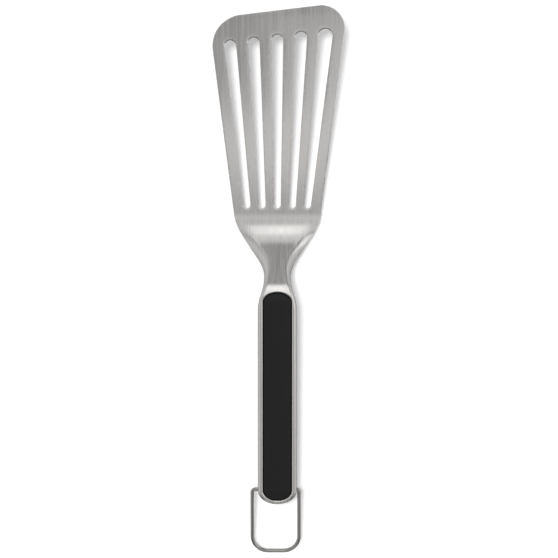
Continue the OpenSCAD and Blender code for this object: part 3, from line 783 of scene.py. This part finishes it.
def grip_outline(top_y, inset, z):
    """A closed line round the grip at a height, moved in from its outline."""
    half, low, top = drawn_in(grip_w / 2, inset), drawn_in(grip_low_arc, inset), drawn_in(grip_top_arc, inset)
    angles = [math.pi * k / end_steps for k in range(end_steps + 1)]
    up = [(-half, window_low_y + (top_y - window_low_y) * k / side_steps, z) for k in range(1, side_steps)]
    return ([(half * math.cos(q), window_low_y - low * math.sin(q), z) for q in angles] + up
            + [(-half * math.cos(q), top_y + top * math.sin(q), z) for q in angles]
            + [(-x, y, z) for x, y, z in up[::-1]])


def closed_object(name, rings, sharp_from):
    """A smooth closed body through equal rings of points, with a cap at both ends."""
    n = len(rings[0])
    around = [(s * n + k, s * n + (k + 1) % n, (s + 1) * n + (k + 1) % n, (s + 1) * n + k)
              for s in range(len(rings) - 1) for k in range(n)]
    caps = [tuple(range(n)), tuple(range((len(rings) - 1) * n, len(rings) * n))]
    mesh = bpy.data.meshes.new(name)
    mesh.from_pydata([lay_down(p) for ring in rings for p in ring], [], around + caps)
    work = bmesh.new()
    work.from_mesh(mesh)
    bmesh.ops.recalc_face_normals(work, faces=work.faces)
    work.to_mesh(mesh)
    work.free()
    mesh.shade_smooth()
    mesh.set_sharp_from_angle(angle=math.radians(sharp_from))
    piece = bpy.data.objects.new(name, mesh)
    scene.collection.objects.link(piece)
    return piece


def grip_object(name, top_y, rear_side):
    """A grip, in rings from its hidden seat over its rounded edge to its crown."""
    inner = grip_w / 2 - grip_edge_r
    layers = [(grip_skin, -grip_skin / 2), (grip_skin, seat_z), (0.0, seat_z)]
    for k in range(edge_steps + 1):
        q = math.pi / 2 * k / edge_steps
        layers.append((grip_edge_r * (1 - math.cos(q)), grip_edge_r * (math.sin(q) - 1)))
    for k in range(1, crown_steps + 1):
        f = crown_stop * k / crown_steps
        layers.append((grip_edge_r + inner * f, grip_crown * (1 - (1 - f) ** 2)))
    rings = [grip_outline(top_y, inset, z) for inset, z in layers]
    if rear_side:
        rings = [[(x, y, -handle_depth - z) for x, y, z in ring] for ring in rings]
    return closed_object(name, rings, 50)


soft_black, skin = new_material("soft_black")
tree = soft_black.node_tree
skin.inputs["Specular IOR Level"].default_value = 0.38
pores = grained(tree, 1800, 3)
tone = tree.nodes.new("ShaderNodeMix")
tone.data_type = "RGBA"
tone.inputs["A"].default_value = (0.009, 0.009, 0.010, 1)
tone.inputs["B"].default_value = (0.013, 0.013, 0.0145, 1)
tree.links.new(pores, tone.inputs["Factor"])
tree.links.new(tone.outputs["Result"], skin.inputs["Base Color"])
tree.links.new(map_range(tree, pores, (0, 1), (0.48, 0.66)), skin.inputs["Roughness"])
add_relief(tree, skin, pores, 0.25, 0.03 * mm)

for name, node, top_y, behind in (("front_grip_skin", "front_grip", front_top_y, False),
                                  ("rear_grip_skin", "rear_grip", rear_top_y, True)):
    grip = grip_object(name, top_y, behind)
    grip.data.materials.append(soft_black)
    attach(grip, "tool")
    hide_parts(node)

# ---- Hanging loop ----
# One bent wire, 2.8 mm thick. Its ends turn inwards through the handle's side
# holes and run in bearings inside, so that it swings freely.
wire_r, loop_len, loop_reach, loop_straight = 1.4, 49.0, 6.5, 3
loop_gap_left, loop_gap_right = 3.0, 0.4
leg_left, leg_right = half_handle + loop_gap_left + wire_r, half_handle + loop_gap_right + wire_r
loop_corner_r, loop_hook_r = 12.0, 2.2
loop_droop = math.radians(6.37103)
hook_steps, bend_steps, leg_points, leg_step, wire_sides = 10, 18, 7, 4.0, 28


def arc_points(centre, radius, start, stop, steps):
    """Points of an arc from one angle to another, in degrees."""
    return [(centre[0] + radius * math.cos(a), centre[1] + radius * math.sin(a))
            for a in [math.radians(start + (stop - start) * k / steps) for k in range(steps + 1)]]


def loop_side(leg):
    """The middle line of one side: inward end, hook, leg and lower corner."""
    inner = half_handle - loop_reach
    return ([(inner, 0.0), (inner + loop_straight, 0.0)]
            + arc_points((leg - loop_hook_r, -loop_hook_r), loop_hook_r, 90, 0, hook_steps)
            + [(leg, -loop_hook_r - k * leg_step) for k in range(1, leg_points + 1)]
            + arc_points((leg - loop_corner_r, loop_corner_r - loop_len), loop_corner_r, 0, -90, bend_steps))


def drooped(p):
    """A point of the loop as drawn flat, turned down about the pivot until its bar rests."""
    c, s = math.cos(loop_droop), math.sin(loop_droop)
    return (p.x, pivot_y + p.y * c - p.z * s, p.y * s + p.z * c - pivot_depth)


line = loop_side(leg_right) + [(-x, y) for x, y in loop_side(leg_left)][::-1]
around = [2 * math.pi * j / wire_sides for j in range(wire_sides)]
rings = []
for k, (x, y) in enumerate(line):
    ahead, behind = line[min(k + 1, len(line) - 1)], line[max(k - 1, 0)]
    along = Vector((ahead[0] - behind[0], ahead[1] - behind[1], 0)).normalized()
    side, up = Vector((along.y, -along.x, 0)), Vector((0, 0, 1))
    rings.append([drooped(Vector((x, y, 0)) + wire_r * (side * math.cos(a) + up * math.sin(a)))
                  for a in around])
loop = closed_object("wire_loop", rings, 60)
loop.data.materials.append(steel_finish("drawn_wire", (0.46, 0.45, 0.44), 0.16, 0.15))
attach(loop, "loop")
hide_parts("hanging_loop")
